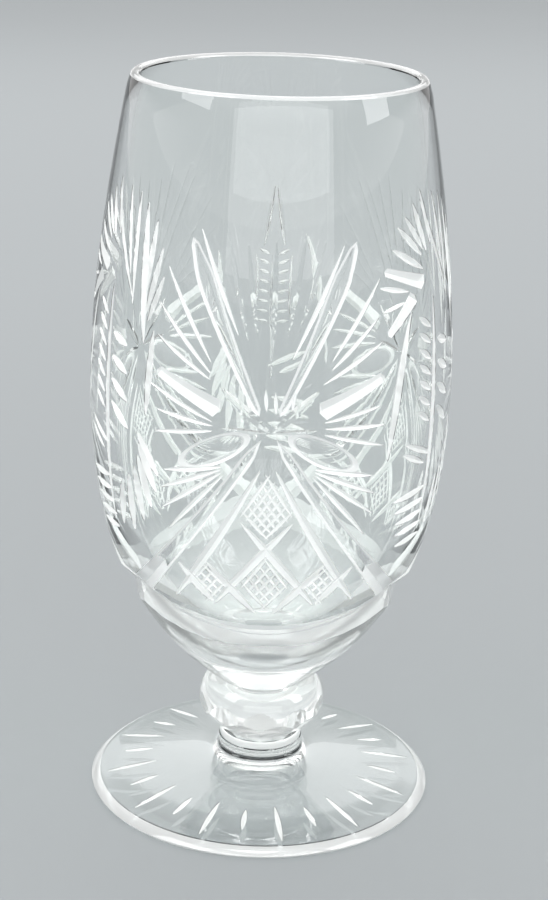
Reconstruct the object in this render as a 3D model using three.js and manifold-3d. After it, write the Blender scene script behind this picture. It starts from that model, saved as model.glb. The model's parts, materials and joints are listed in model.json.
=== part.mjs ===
// Footed iced tea glass in hand-cut crystal.
// Four gathers of clear glass are joined hot, one above the other: a foot, a wafer, a faceted knop and a
// barrel-shaped bowl. When cold, the bowl is cut on wheels with three mitre stars, each in its own panel,
// with a feathered column between every two panels. Two columns open into fans at the top, and the one at the
// back ends in a pointed flame. The knop is cut with flat facets, and the foot with long and short rays.
// Millimetres, +Z up. The origin is the centre of the ring that the foot stands on. Azimuth 0 faces -Y.

import * as THREE from 'three';
import { mergeVertices } from 'three/addons/utils/BufferGeometryUtils.js';
import Module from 'manifold-3d';

// Foot
const footRadius = 39.4;
const footEdgeThickness = 1.7;
const footShoulderInset = 2.8;
const footShoulderHeight = 2.3;
const footWaistRadius = 24;
const footWaistHeight = 4.7;
const restRingWidth = 5.5;
const footHollowDepth = 2.6;
const pedestalRadius = 9.6;
const pedestalFillet = 3.2;
const footHeight = 11;

// Rays on top of the foot
const footRayPairs = 12;
const footRayTurn = 9;
const longRayInset = 2.8;
const longRayLength = 13.1;
const shortRayInset = 6.6;
const shortRayLength = 7.8;
const footRayDepth = 0.62;

// Wafer between the foot and the knop
const waferRadius = 9.5;
const waferThickness = 1.8;
const waferEdge = 0.55;

// Knop
const knopRadius = 14.4;
const knopHeight = 14.2;
const knopBaseRadius = 8.9;
const knopTopRadius = 10.8;
const knopGirdle = 0.56;
const knopFacets = 10;
const lozengeBite = 0.55;
const lozengeTilt = 8;
const lowerFacetBite = 1.0;
const lowerFacetTilt = 42;

// Bowl
const bowlHeight = 138;
const bellyRadius = 39.75;
const bellyAboveBase = 71;
const rimRadius = 31.6;
const rimWall = 2.3;
const bellyWall = 4.6;
const floorThickness = 11;
const bowlBaseFullness = [22, 17.8];
const bowlBellyRise = 33.1;
const bowlShoulderRise = 16.8;
const bowlRimLean = [5.95, 29.9];

// Cut pattern on the bowl. A place on it is [degrees from the middle of its panel or column, height above
// the base of the bowl].
const panels = 3;
const fineDepth = 0.72;
const fineFlank = 50;
const broadDepth = 1.35;
const broadFlank = 66;

// Star in the middle of each panel, whose edge has straight sides and rounded shoulders
const starAboveBase = 72.6;
const starReach = 43;
const panelHalfWidth = 26;
const panelShoulder = 6;
const crossbarReach = 12;
const featherPlace = [10.5, 64];
const featherReach = 17;

// Skirt under the star: two long diagonals, a lattice between them and an arc below
const diagonalDepth = 1.75;
const diagonalFlank = 60;
const diagonalSag = 7.3;
const diagonalEnd = [66, 24.5];
const latticeDepth = 0.75;
const longLattice = [[0, 66.5], [36, 29]];
const longLatticeSag = 3.4;
const middleLattice = [[-10, 53], [20, 29]];
const shortLattice = [[-21, 42], [-2, 28]];
const baseArcEnd = [72, 30.8];
const baseArcSag = 9.4;
const baseArcDepth = 1.85;
const baseArcFlank = 72;

// Columns between the panels
const backColumn = 180;
const spineTop = 100;
const spineFoot = 40;
const sideFanPlace = [16, 85];
const fallingFanPlace = [11.5, 72];
const leftBorder = [[-9.2, 96], [-21.8, 61]];
const rightBorder = [[21.8, 91], [19.6, 70]];
const flameTip = 106;
const ladderFoot = 73;

// The cutter stands this far clear of the glass outside a cut
const cutterClearance = 0.6;

// Slivers narrower than this are closed up after cutting
const sliverLimit = 0.02;

// Facets round each turned surface
const bowlSegments = 48;
const insideSegments = 36;
const footSegments = 48;
const knopSegments = 30;
const waferSegments = 24;

const waferBase = footHeight;
const knopBase = waferBase + waferThickness;
const bowlBase = knopBase + knopHeight;
const rimHeight = bowlBase + bowlHeight;
const bellyHeight = bowlBase + bellyAboveBase;
const starHeight = bowlBase + starAboveBase;
const footShoulderRadius = footRadius - footShoulderInset;

const wasm = await Module();
wasm.setup();

const radians = THREE.MathUtils.degToRad;
const degrees = THREE.MathUtils.radToDeg;

function toManifold(geometry) {
  const bare = geometry.clone();
  bare.deleteAttribute('normal');
  bare.deleteAttribute('uv');
  const merged = mergeVertices(bare, 1e-4);
  return new wasm.Manifold(new wasm.Mesh({
    numProp: 3,
    vertProperties: new Float32Array(merged.attributes.position.array),
    triVerts: new Uint32Array(merged.index.array),
  }));
}

function toGeometry(solid) {
  const mesh = solid.getMesh();
  const geometry = new THREE.BufferGeometry();
  geometry.setAttribute('position', new THREE.BufferAttribute(new Float32Array(mesh.vertProperties), 3));
  geometry.setIndex(new THREE.BufferAttribute(new Uint32Array(mesh.triVerts), 1));
  geometry.computeVertexNormals();
  return geometry;
}

// A revolved solid about +Z. The outline is a list of Vector2(radius, height), given from the bottom up.
function revolve(outline, segments) {
  return new THREE.LatheGeometry(outline, segments).rotateX(Math.PI / 2);
}

function arcPoints(centreRadius, centreHeight, radius, fromDegrees, toDegrees, steps) {
  return Array.from({ length: steps + 1 }, (_, i) => {
    const angle = radians(fromDegrees + (toDegrees - fromDegrees) * i / steps);
    return new THREE.Vector2(
      centreRadius + radius * Math.cos(angle),
      centreHeight + radius * Math.sin(angle),
    );
  });
}

// Outline of the outside of the bowl: one curve from the base to the belly, one from the belly to the rim
const bowlOutline = new THREE.CurvePath();
bowlOutline.add(new THREE.CubicBezierCurve(
  new THREE.Vector2(knopTopRadius, bowlBase),
  new THREE.Vector2(knopTopRadius + bowlBaseFullness[0], bowlBase + bowlBaseFullness[1]),
  new THREE.Vector2(bellyRadius, bellyHeight - bowlBellyRise),
  new THREE.Vector2(bellyRadius, bellyHeight),
));
bowlOutline.add(new THREE.CubicBezierCurve(
  new THREE.Vector2(bellyRadius, bellyHeight),
  new THREE.Vector2(bellyRadius, bellyHeight + bowlShoulderRise),
  new THREE.Vector2(rimRadius + bowlRimLean[0], rimHeight - bowlRimLean[1]),
  new THREE.Vector2(rimRadius, rimHeight),
));
const outlineSamples = bowlOutline.curves.flatMap((curve) => curve.getPoints(200));

// Radius of the outside at a height, and the slope of the outline there
function bowlOutside(height) {
  const above = outlineSamples.findIndex((sample) => sample.y >= height);
  const upper = Math.max(1, above < 0 ? outlineSamples.length - 1 : above);
  const a = outlineSamples[upper - 1];
  const b = outlineSamples[upper];
  const rise = Math.max(b.y - a.y, 1e-9);
  const radius = a.x + (b.x - a.x) * (height - a.y) / rise;
  return { radius, slope: (b.x - a.x) / rise };
}

// A place on the outside of the bowl, with the outward direction there
function onBowl(azimuth, height) {
  const { radius, slope } = bowlOutside(height);
  const angle = radians(azimuth);
  const outward = new THREE.Vector3(Math.sin(angle), -Math.cos(angle), 0);
  return {
    point: outward.clone().multiplyScalar(radius).setZ(height),
    normal: outward.clone().setZ(-slope).normalize(),
  };
}

// The place reached from a node by going a distance over the glass; direction 0 is up, 90 is to the right
function reachFrom(node, direction, distance) {
  const height = node.height + distance * Math.cos(radians(direction));
  const sideways = distance * Math.sin(radians(direction));
  return { azimuth: node.azimuth + degrees(sideways / bowlOutside(height).radius), height };
}

// A place given from the middle of a panel or column and the base of the bowl
function placeAt(middle, [azimuth, aboveBase]) {
  return { azimuth: middle + azimuth, height: bowlBase + aboveBase };
}

// The line of a cut between two places on the bowl, bowed down by sag at its middle. A lag below 1 makes it
// turn sideways first and fall later.
function bowlLine(from, to, sag = 0, lag = 1) {
  return (share) => {
    const azimuth = from.azimuth + (to.azimuth - from.azimuth) * share ** lag;
    const height = from.height + (to.height - from.height) * share - 4 * sag * share * (1 - share);
    return onBowl(azimuth, height);
  };
}

// How deep a cut is along its line, as a share of its full depth
const leafTaper = (share) => 1 - (2 * share - 1) ** 2;
const swellingTaper = (share) => 0.3 + 0.7 * share;
const arcTaper = (share) => 0.5 + 0.5 * Math.abs(2 * share - 1);

// A mitre cut: a keel that dips below the surface along a line and runs out at both ends. The flank is the
// angle of each side from the outward direction, so a broad cut has a large one.
function mitreCutter(line, depth, flank, stations, taper = leafTaper) {
  const spread = Math.tan(radians(flank));
  const corners = [];
  const push = (vector) => corners.push(vector.x, vector.y, vector.z);
  const tip = (share) => {
    const { point, normal } = line(share);
    return point.clone().addScaledVector(normal, cutterClearance);
  };
  push(tip(0));
  for (let i = 1; i < stations; i += 1) {
    const share = i / stations;
    const { point, normal } = line(share);
    const ahead = line(Math.min(1, share + 0.02)).point;
    const behind = line(Math.max(0, share - 0.02)).point;
    const side = ahead.sub(behind).cross(normal).normalize();
    const keel = depth * taper(share);
    const brim = point.clone().addScaledVector(normal, cutterClearance);
    push(point.clone().addScaledVector(normal, -keel));
    push(brim.clone().addScaledVector(side, (keel + cutterClearance) * spread));
    push(brim.clone().addScaledVector(side, -(keel + cutterClearance) * spread));
  }
  push(tip(1));
  const faces = [[0, 1, 2], [0, 3, 1], [0, 2, 3]];
  for (let i = 0; i < stations - 2; i += 1) {
    const [keel, right, left] = [1 + 3 * i, 2 + 3 * i, 3 + 3 * i];
    faces.push([keel, keel + 3, right + 3], [keel, right + 3, right]);
    faces.push([right, right + 3, left + 3], [right, left + 3, left]);
    faces.push([left, left + 3, keel + 3], [left, keel + 3, keel]);
  }
  const last = 1 + 3 * (stations - 2);
  const end = last + 3;
  faces.push([end, last + 1, last], [end, last, last + 2], [end, last + 2, last + 1]);
  const geometry = new THREE.BufferGeometry();
  geometry.setAttribute('position', new THREE.Float32BufferAttribute(corners, 3));
  geometry.setIndex(faces.flat());
  return toManifold(geometry);
}

// One short mitre between two places given from the middle of a column
function stroke(middle, from, to, depth = fineDepth, flank = fineFlank, stations = 3) {
  return mitreCutter(bowlLine(placeAt(middle, from), placeAt(middle, to)), depth, flank, stations);
}

// A hollow cut with a rounded wheel: a long ellipsoid let into the surface at a place, along a direction
function hollowCutter(place, direction, length, width, depth) {
  const { point, normal } = onBowl(place.azimuth, place.height);
  const up = new THREE.Vector3(0, 0, 1);
  const along = up.addScaledVector(normal, -up.dot(normal)).normalize().applyAxisAngle(normal, -radians(direction));
  const side = new THREE.Vector3().crossVectors(along, normal);
  const bulge = depth * 2;
  const geometry = new THREE.SphereGeometry(1, 10, 8);
  const stretch = 1 / Math.sqrt(1 - (1 - depth / bulge) ** 2);
  geometry.scale(side.length() * width / 2 * stretch, length / 2 * stretch, bulge);
  const turn = new THREE.Matrix4().makeBasis(side, along, normal);
  geometry.applyMatrix4(turn.setPosition(point.clone().addScaledVector(normal, bulge - depth)));
  return toManifold(geometry);
}

// How far a ray goes from the star's centre before it meets the edge of its panel
function panelReach(direction) {
  const sideways = Math.abs(Math.sin(radians(direction))) / panelHalfWidth;
  return (sideways ** panelShoulder + (1 / starReach) ** panelShoulder) ** (-1 / panelShoulder);
}

// A fan of rays about a place. Their inner and outer ends are numbers or functions of the direction.
function fan(node, first, last, count, inner, outer, depth = fineDepth, flank = fineFlank) {
  const lengthOf = (value, direction) => (typeof value === 'function' ? value(direction) : value);
  return Array.from({ length: count }, (_, i) => {
    const direction = count === 1 ? first : first + (last - first) * i / (count - 1);
    const start = lengthOf(inner, direction);
    const finish = lengthOf(outer, direction);
    const line = bowlLine(reachFrom(node, direction, start), reachFrom(node, direction, finish));
    return mitreCutter(line, depth, flank, finish - start > 22 ? 4 : 3);
  });
}

// The star of one panel, at an azimuth
function starCutters(azimuth) {
  const star = { azimuth, height: starHeight };
  const left = reachFrom(star, -90, crossbarReach);
  const right = reachFrom(star, 90, crossbarReach);
  const cutters = [...fan(star, -21, 21, 7, 12, panelReach)];
  cutters.push(mitreCutter(bowlLine(left, right), broadDepth / 2, broadFlank, 4));
  for (const side of [-1, 1]) {
    cutters.push(...fan(star, side * 36, side * 55, 3, 15, panelReach));
    cutters.push(...fan(star, side * 76, side * 101, 3, 10, panelReach));
    cutters.push(...fan(star, side * 28.5, side * 28.5, 1, 7, panelReach, 1.1, 60));
    cutters.push(...fan(star, side * 65.5, side * 65.5, 1, 6, panelReach, broadDepth, broadFlank));
    cutters.push(hollowCutter(reachFrom(star, side * 117, 13), side * 117, 17, 6, 1.1));
    const feather = placeAt(azimuth, [side * featherPlace[0], featherPlace[1]]);
    const longer = (direction) => featherReach + 0.18 * (Math.abs(direction) - 102);
    cutters.push(...fan(feather, side * 102, side * 139, 3, 1.5, longer));
  }
  return cutters;
}

// The skirt of one panel: two diagonals that meet the neighbours' ones, the lattice and the base arc
function skirtCutters(azimuth) {
  const lines = [[longLattice, longLatticeSag], [middleLattice, 0], [shortLattice, 0]];
  const cutters = [];
  for (const side of [-1, 1]) {
    const at = ([away, aboveBase]) => placeAt(azimuth, [side * away, aboveBase]);
    const diagonal = bowlLine(at([0, starAboveBase]), at(diagonalEnd), diagonalSag);
    cutters.push(mitreCutter(diagonal, diagonalDepth, diagonalFlank, 8, swellingTaper));
    for (const [[from, to], sag] of lines) {
      cutters.push(mitreCutter(bowlLine(at(from), at(to), sag), latticeDepth, fineFlank + 6, 4));
    }
  }
  const arcStart = placeAt(azimuth, [-baseArcEnd[0], baseArcEnd[1]]);
  const arcLine = bowlLine(arcStart, placeAt(azimuth, baseArcEnd), baseArcSag);
  cutters.push(mitreCutter(arcLine, baseArcDepth, baseArcFlank, 9, arcTaper));
  return cutters;
}

// The lower part of every column: a spine, strokes on its left, a falling fan on its right, and two borders
function columnCutters(azimuth) {
  const falling = placeAt(azimuth, fallingFanPlace);
  const start = (direction) => 5 + 0.27 * (direction - 146);
  const finish = (direction) => 29 - 0.36 * Math.max(180 - direction, 0);
  const cutters = [...fan(falling, 146, 188, 5, start, finish, fineDepth * 1.2)];
  cutters.push(stroke(azimuth, [0, spineTop], [0, spineFoot], fineDepth, fineFlank + 6, 6));
  for (let i = 0; i < 3; i += 1) {
    cutters.push(stroke(azimuth, [1 + i, 54.2 - 5 * i], [2 * i - 18, 52.9 - 4.8 * i]));
  }
  const [leftTop, leftFoot] = leftBorder.map((end) => placeAt(azimuth, end));
  cutters.push(mitreCutter(bowlLine(leftTop, leftFoot, 0, 0.5), fineDepth, fineFlank + 6, 5));
  cutters.push(stroke(azimuth, rightBorder[0], rightBorder[1]));
  return cutters;
}

// The top of a front column: a half fan on the left, a steep fan on the right and strokes under it
function fanTopCutters(azimuth) {
  const upper = placeAt(azimuth, [0, spineTop]);
  const beside = placeAt(azimuth, sideFanPlace);
  const steepReach = (direction) => 31.8 - (direction > 0 ? 0.8 * direction : -0.25 * direction);
  const cutters = [
    ...fan(upper, -95, -6, 6, 5, (direction) => 19.5 + 0.04 * direction),
    ...fan(beside, -22, 18, 6, 7, steepReach),
  ];
  for (let i = 0; i < 3; i += 1) {
    cutters.push(stroke(azimuth, [1.8, 86.7 - 6.5 * i], [11 + 0.5 * i, 84.7 - 7.8 * i]));
  }
  return cutters;
}

// The top of the back column: a pointed flame over a ladder of rungs, between two upright lines
function flameTopCutters(azimuth) {
  const cutters = [];
  for (const side of [-1, 1]) {
    cutters.push(stroke(azimuth, [side * 5.5, flameTip], [side, flameTip - 18]));
    cutters.push(stroke(azimuth, [side * 7.5, 93], [side * 7.5, 68]));
    for (let i = 0; i < 3; i += 1) {
      const rung = ladderFoot + 6 * i;
      cutters.push(stroke(azimuth, [side * 1.2, rung], [side * 6.4, rung + 0.6], fineDepth * 0.7));
    }
  }
  return cutters;
}

function makeBowl() {
  const outside = [new THREE.Vector2(0, bowlBase)];
  const [lowerCurve, upperCurve] = bowlOutline.curves;
  outside.push(...lowerCurve.getPoints(7), ...upperCurve.getPoints(5).slice(1, -1));
  const lip = rimWall / 2;
  outside.push(...arcPoints(rimRadius - lip, rimHeight - lip, lip, 0, 90, 3));
  outside.push(new THREE.Vector2(0, rimHeight));
  let bowl = toManifold(revolve(outside, bowlSegments));

  const innerRim = rimRadius - rimWall;
  const innerBelly = bellyRadius - bellyWall;
  const floorHeight = bowlBase + floorThickness;
  const innerLower = new THREE.CubicBezierCurve(
    new THREE.Vector2(0, floorHeight),
    new THREE.Vector2(innerBelly * 0.56, floorHeight),
    new THREE.Vector2(innerBelly, bellyHeight - 0.62 * (bellyHeight - floorHeight)),
    new THREE.Vector2(innerBelly, bellyHeight - 2),
  );
  const innerUpper = new THREE.CubicBezierCurve(
    new THREE.Vector2(innerBelly, bellyHeight - 2),
    new THREE.Vector2(innerBelly, bellyHeight + bowlShoulderRise),
    new THREE.Vector2(innerRim + bowlRimLean[0] * 0.8, rimHeight - bowlRimLean[1]),
    new THREE.Vector2(innerRim, rimHeight - lip),
  );
  const inside = [...innerLower.getPoints(7), ...innerUpper.getPoints(4).slice(1)];
  const flare = arcPoints(innerRim + lip, rimHeight - lip, lip, 180, 90, 3).slice(1);
  inside.push(...flare, new THREE.Vector2(innerRim + lip, rimHeight + 2), new THREE.Vector2(0, rimHeight + 2));
  bowl = bowl.subtract(toManifold(revolve(inside, insideSegments)));

  for (let panel = 0; panel < panels; panel += 1) {
    const azimuth = 360 / panels * panel;
    const column = azimuth + 180 / panels;
    const cutters = [...starCutters(azimuth), ...skirtCutters(azimuth), ...columnCutters(column)];
    cutters.push(...(column === backColumn ? flameTopCutters(column) : fanTopCutters(column)));
    for (const cutter of cutters) bowl = bowl.subtract(cutter);
  }
  return toGeometry(bowl.simplify(sliverLimit));
}

// The knop: a pressed ball with a row of lozenge facets round its girdle and a row of facets under it
function makeKnop() {
  const top = bowlBase;
  const girdle = knopBase + knopHeight * knopGirdle;
  const upperCurve = new THREE.CubicBezierCurve(
    new THREE.Vector2(knopRadius, girdle),
    new THREE.Vector2(knopRadius, girdle + 2.6),
    new THREE.Vector2(knopTopRadius + 2.4, top - 0.9),
    new THREE.Vector2(knopTopRadius, top),
  );
  const lowerCurve = new THREE.CubicBezierCurve(
    new THREE.Vector2(knopBaseRadius, knopBase),
    new THREE.Vector2(knopBaseRadius + 2.6, knopBase + 0.9),
    new THREE.Vector2(knopRadius, girdle - 4.2),
    new THREE.Vector2(knopRadius, girdle),
  );
  const outline = [new THREE.Vector2(0, knopBase), ...lowerCurve.getPoints(5)];
  outline.push(...upperCurve.getPoints(4).slice(1), new THREE.Vector2(0, top));
  let knop = toManifold(revolve(outline, knopSegments));
  const slab = 20;
  const facet = (azimuth, tilt, height, distance) => {
    const geometry = new THREE.BoxGeometry(slab, slab, slab).translate(0, -slab / 2, 0);
    geometry.rotateX(radians(tilt)).translate(0, -distance, height).rotateZ(radians(azimuth));
    return toManifold(geometry);
  };
  for (let i = 0; i < knopFacets; i += 1) {
    const azimuth = 360 / knopFacets * i;
    knop = knop.subtract(facet(azimuth, lozengeTilt, girdle - 0.6, knopRadius - lozengeBite));
    const below = azimuth + 180 / knopFacets;
    knop = knop.subtract(facet(below, lowerFacetTilt, knopBase + 3.2, knopBaseRadius + 3.4 - lowerFacetBite));
  }
  return toGeometry(knop);
}

function makeWafer() {
  const outline = [new THREE.Vector2(0, waferBase)];
  const edgeRadius = waferRadius - waferEdge;
  outline.push(...arcPoints(edgeRadius, waferBase + waferEdge, waferEdge, -90, 0, 2));
  outline.push(...arcPoints(edgeRadius, knopBase - waferEdge, waferEdge, 0, 90, 2));
  outline.push(new THREE.Vector2(0, knopBase));
  return revolve(outline, waferSegments);
}

// Height of the top of the foot at a radius, outside the pedestal's fillet
function footTop(radius) {
  if (radius > footShoulderRadius) {
    const share = (radius - footShoulderRadius) / (footRadius - footShoulderRadius);
    return footShoulderHeight - (footShoulderHeight - footEdgeThickness / 2) * share * share;
  }
  const slope = (footWaistHeight - footShoulderHeight) / (footShoulderRadius - footWaistRadius);
  return footShoulderHeight + slope * (footShoulderRadius - radius);
}

function makeFoot() {
  const edge = footEdgeThickness / 2;
  const restRingInner = footRadius - edge - restRingWidth;
  const filletFoot = pedestalRadius + pedestalFillet;
  const outline = [];
  const steps = 3;
  for (let i = 0; i <= steps; i += 1) {
    const radius = restRingInner * i / steps;
    const share = radius / restRingInner;
    outline.push(new THREE.Vector2(radius, footHollowDepth * (1 - share * share)));
  }
  outline.push(...arcPoints(footRadius - edge, edge, edge, -90, 0, 2));
  for (const share of [0.5, 0]) {
    const radius = footShoulderRadius + (footRadius - footShoulderRadius) * share;
    outline.push(new THREE.Vector2(radius, footTop(radius)));
  }
  outline.push(new THREE.Vector2(footWaistRadius, footTop(footWaistRadius)));
  const fillet = new THREE.QuadraticBezierCurve(
    new THREE.Vector2(filletFoot, footTop(filletFoot)),
    new THREE.Vector2(pedestalRadius, footTop(pedestalRadius)),
    new THREE.Vector2(pedestalRadius, footTop(pedestalRadius) + pedestalFillet * 0.7),
  );
  outline.push(...fillet.getPoints(3), new THREE.Vector2(pedestalRadius, footHeight));
  outline.push(new THREE.Vector2(0, footHeight));
  let foot = toManifold(revolve(outline, footSegments));

  const ray = (azimuth, inset, length) => {
    const outer = footRadius - inset;
    const inner = outer - length;
    const angle = radians(azimuth);
    const outward = new THREE.Vector3(Math.sin(angle), -Math.cos(angle), 0);
    const lean = (footWaistHeight - footShoulderHeight) / (footShoulderRadius - footWaistRadius);
    const normal = outward.clone().multiplyScalar(lean).setZ(1).normalize();
    const line = (share) => {
      const radius = inner + (outer - inner) * share;
      return { point: outward.clone().multiplyScalar(radius).setZ(footTop(radius)), normal };
    };
    return mitreCutter(line, footRayDepth, fineFlank, 4);
  };
  for (let i = 0; i < footRayPairs; i += 1) {
    const azimuth = footRayTurn + 360 / footRayPairs * i;
    foot = foot.subtract(ray(azimuth, longRayInset, longRayLength));
    foot = foot.subtract(ray(azimuth + 180 / footRayPairs, shortRayInset, shortRayLength));
  }
  return toGeometry(foot);
}

function crystal(tint) {
  return new THREE.MeshStandardMaterial({ color: tint, roughness: 0.04, metalness: 0 });
}

function piece(name, geometry, tint) {
  const mesh = new THREE.Mesh(geometry, crystal(tint));
  mesh.name = name;
  return mesh;
}

const glass = new THREE.Group();
glass.add(
  piece('foot', makeFoot(), 0xe4eeea),
  piece('wafer', makeWafer(), 0xe8f1ee),
  piece('knop', makeKnop(), 0xe8f1ee),
  piece('bowl', makeBowl(), 0xe6f0ec),
);

export default glass;
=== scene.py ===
import json
import math

import bpy
from mathutils import Matrix, Vector

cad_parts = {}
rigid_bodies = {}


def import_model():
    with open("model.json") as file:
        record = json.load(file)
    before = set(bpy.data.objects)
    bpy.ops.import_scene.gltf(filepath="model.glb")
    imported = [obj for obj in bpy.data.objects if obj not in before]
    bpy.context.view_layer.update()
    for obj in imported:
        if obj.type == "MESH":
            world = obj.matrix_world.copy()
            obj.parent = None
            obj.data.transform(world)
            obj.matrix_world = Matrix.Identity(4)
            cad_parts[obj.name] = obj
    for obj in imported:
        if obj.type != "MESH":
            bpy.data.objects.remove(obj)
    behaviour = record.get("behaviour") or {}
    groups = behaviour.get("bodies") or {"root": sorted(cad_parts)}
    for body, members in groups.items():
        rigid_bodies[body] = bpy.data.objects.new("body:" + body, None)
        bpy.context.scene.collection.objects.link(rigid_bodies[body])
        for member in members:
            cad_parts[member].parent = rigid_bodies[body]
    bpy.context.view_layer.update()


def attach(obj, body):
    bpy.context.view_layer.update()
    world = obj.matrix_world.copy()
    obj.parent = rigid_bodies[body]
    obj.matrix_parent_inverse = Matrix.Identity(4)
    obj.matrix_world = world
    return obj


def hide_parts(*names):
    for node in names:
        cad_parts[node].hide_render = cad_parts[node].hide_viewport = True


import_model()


# The camera stands in front of the glass, a little above its rim, and looks down on it. It leans slightly,
# so the glass leans to the right in the picture.
MM = 0.001
CAMERA_PLACE = Vector((0, -424.0, 228.2)) * MM
CAMERA_PITCH = 0.3338
CAMERA_YAW = 0.0028
CAMERA_ROLL = 0.0314
CAMERA_SENSOR = 36
CAMERA_LENS = 80.23

camera_data = bpy.data.cameras.new("camera")
camera_data.sensor_width = CAMERA_SENSOR
camera_data.lens = CAMERA_LENS
camera_data.clip_start = 0.01
camera_data.clip_end = 20
camera = bpy.data.objects.new("camera", camera_data)
bpy.context.scene.collection.objects.link(camera)
bpy.context.scene.camera = camera

forward = Vector((
    math.sin(CAMERA_YAW) * math.cos(CAMERA_PITCH),
    math.cos(CAMERA_YAW) * math.cos(CAMERA_PITCH),
    -math.sin(CAMERA_PITCH),
))
level_right = Vector((math.cos(CAMERA_YAW), -math.sin(CAMERA_YAW), 0))
level_up = level_right.cross(forward)
right = math.cos(CAMERA_ROLL) * level_right + math.sin(CAMERA_ROLL) * level_up
up = math.cos(CAMERA_ROLL) * level_up - math.sin(CAMERA_ROLL) * level_right
turn = Matrix((right, up, -forward)).transposed().to_4x4()
camera.matrix_world = Matrix.Translation(CAMERA_PLACE) @ turn


# The glass stands on a plain pale floor that runs out to a pale room with a white ceiling. Four soft boxes
# and a darker strip just over the horizon give the cuts something to sparkle with.
FLOOR_SEGMENTS = 96
FLOOR_RADIUS = 3.0
FLOOR_COLOUR = (0.35, 0.37, 0.38)
FLOOR_ROUGHNESS = 0.7
FLOOR_SHEEN = 0.2
# The floor grows paler outwards, as painted light that makes up for the lamps' fall-off: (share of its
# radius, times its colour)
FLOOR_PAINTED_LIGHT = [(0.0, 1.0), (0.15, 1.2), (0.5, 1.5)]
ROOM_PALE = (0.45, 0.475, 0.487)
# Tones of the room as the glass shows them: (0 straight down to 1 straight up, tone)
ROOM_TONES = [(0.0, 1.0), (0.53, 1.0), (0.57, 0.38), (0.61, 0.38), (0.68, 1.0), (1.0, 1.0)]
ROOM_LIGHT = 0.74
# Soft boxes: (name, place, aim, width, height, watts)
SOFT_BOXES = [
    ("left_box", (-0.75, -0.35, 0.75), (0, 0, 0.08), 0.5, 0.8, 4.2),
    ("right_box", (0.85, -0.2, 0.65), (0, 0, 0.08), 0.4, 0.8, 3.8),
    ("back_box", (-0.15, 0.95, 0.8), (0, 0, 0.08), 1.6, 0.9, 3.4),
    ("front_box", (0.1, -1.6, 0.45), (0, 0, 0.06), 2.3, 0.65, 6.2),
]

view = bpy.context.scene.view_settings
view.view_transform = "Standard"


class Value:
    """A socket of a shader tree, so that shader maths reads as Python maths"""

    def __init__(self, tree, socket):
        self.tree = tree
        self.socket = socket

    def join(self, operation, first, second):
        return node(self.tree, "ShaderNodeMath", {"operation": operation}, {0: first, 1: second})

    def __add__(self, other):
        return self.join("ADD", self, other)

    __radd__ = __add__

    def __mul__(self, other):
        return self.join("MULTIPLY", self, other)

    __rmul__ = __mul__

    def __sub__(self, other):
        return self.join("SUBTRACT", self, other)

    def __rsub__(self, other):
        return self.join("SUBTRACT", other, self)


def node(tree, kind, settings=None, inputs=None, output=0):
    """A node of a kind, with its settings made first and its inputs set or linked"""
    made = tree.nodes.new(kind)
    for name, value in (settings or {}).items():
        if name == "stops":
            elements = made.color_ramp.elements
            for element, (place, tone) in zip([elements[0], elements[1]], value):
                element.position = place
                element.color = (*tone, 1)
            for place, tone in value[2:]:
                elements.new(place).color = (*tone, 1)
        else:
            setattr(made, name, value)
    for name, value in (inputs or {}).items():
        if isinstance(value, Value):
            tree.links.new(value.socket, made.inputs[name])
        else:
            made.inputs[name].default_value = value
    return Value(tree, made.outputs[output])


def greys(stops):
    """The stops of a ramp from pairs of a place and a plain number"""
    return [(place, (tone, tone, tone)) for place, tone in stops]


world = bpy.data.worlds.new("room")
bpy.context.scene.world = world
world.use_nodes = True
tree = world.node_tree
tree.nodes.clear()
direction = node(tree, "ShaderNodeTexCoord", output="Generated")
height = node(tree, "ShaderNodeSeparateXYZ", None, {0: direction}, output=2)
dome = node(tree, "ShaderNodeValToRGB", {"stops": greys(ROOM_TONES)}, {0: height * 0.5 + 0.5})
path = tree.nodes.new("ShaderNodeLightPath")
camera_ray = Value(tree, path.outputs["Is Camera Ray"])
seen = node(tree, "ShaderNodeMix", {"data_type": "RGBA"}, {0: camera_ray, 6: dome}, output=2)
seen.socket.node.inputs[7].default_value = (*ROOM_PALE, 1)
glossy = Value(tree, path.outputs["Is Glossy Ray"])
through = Value(tree, path.outputs["Is Transmission Ray"])
shown = node(tree, "ShaderNodeMath", {"operation": "MAXIMUM"}, {0: glossy, 1: through})
shown = node(tree, "ShaderNodeMath", {"operation": "MAXIMUM"}, {0: shown, 1: camera_ray})
seen_sky = node(tree, "ShaderNodeBackground", None, {0: seen, 1: 1.0})
lit_sky = node(tree, "ShaderNodeBackground", None, {0: (1, 1, 1, 1), 1: ROOM_LIGHT})
sky = node(tree, "ShaderNodeMixShader", None, {0: shown, 1: lit_sky, 2: seen_sky})
room = tree.nodes.new("ShaderNodeOutputWorld")
tree.links.new(sky.socket, room.inputs["Surface"])

bpy.ops.object.select_all(action="DESELECT")
bpy.ops.mesh.primitive_circle_add(vertices=FLOOR_SEGMENTS, radius=FLOOR_RADIUS, fill_type="NGON")
floor = bpy.context.object
floor.name = "floor"
floor_paint = bpy.data.materials.new("floor")
floor_paint.use_nodes = True
floor_shader = floor_paint.node_tree.nodes["Principled BSDF"]
floor_tree = floor_paint.node_tree
floor_place = node(floor_tree, "ShaderNodeTexCoord", output="Object")
floor_far = node(floor_tree, "ShaderNodeVectorMath", {"operation": "LENGTH"}, {0: floor_place}, output=1)
# The floor's colour is painted paler with distance, standing in for lamp light that falls off away from the
# glass
paints = [(share, tuple(tone * rise for tone in FLOOR_COLOUR)) for share, rise in FLOOR_PAINTED_LIGHT]
floor_share = floor_far * (1 / FLOOR_RADIUS)
floor_tone = node(floor_tree, "ShaderNodeValToRGB", {"stops": paints}, {0: floor_share})
floor_tree.links.new(floor_tone.socket, floor_shader.inputs["Base Color"])
floor_shader.inputs["Roughness"].default_value = FLOOR_ROUGHNESS
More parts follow.
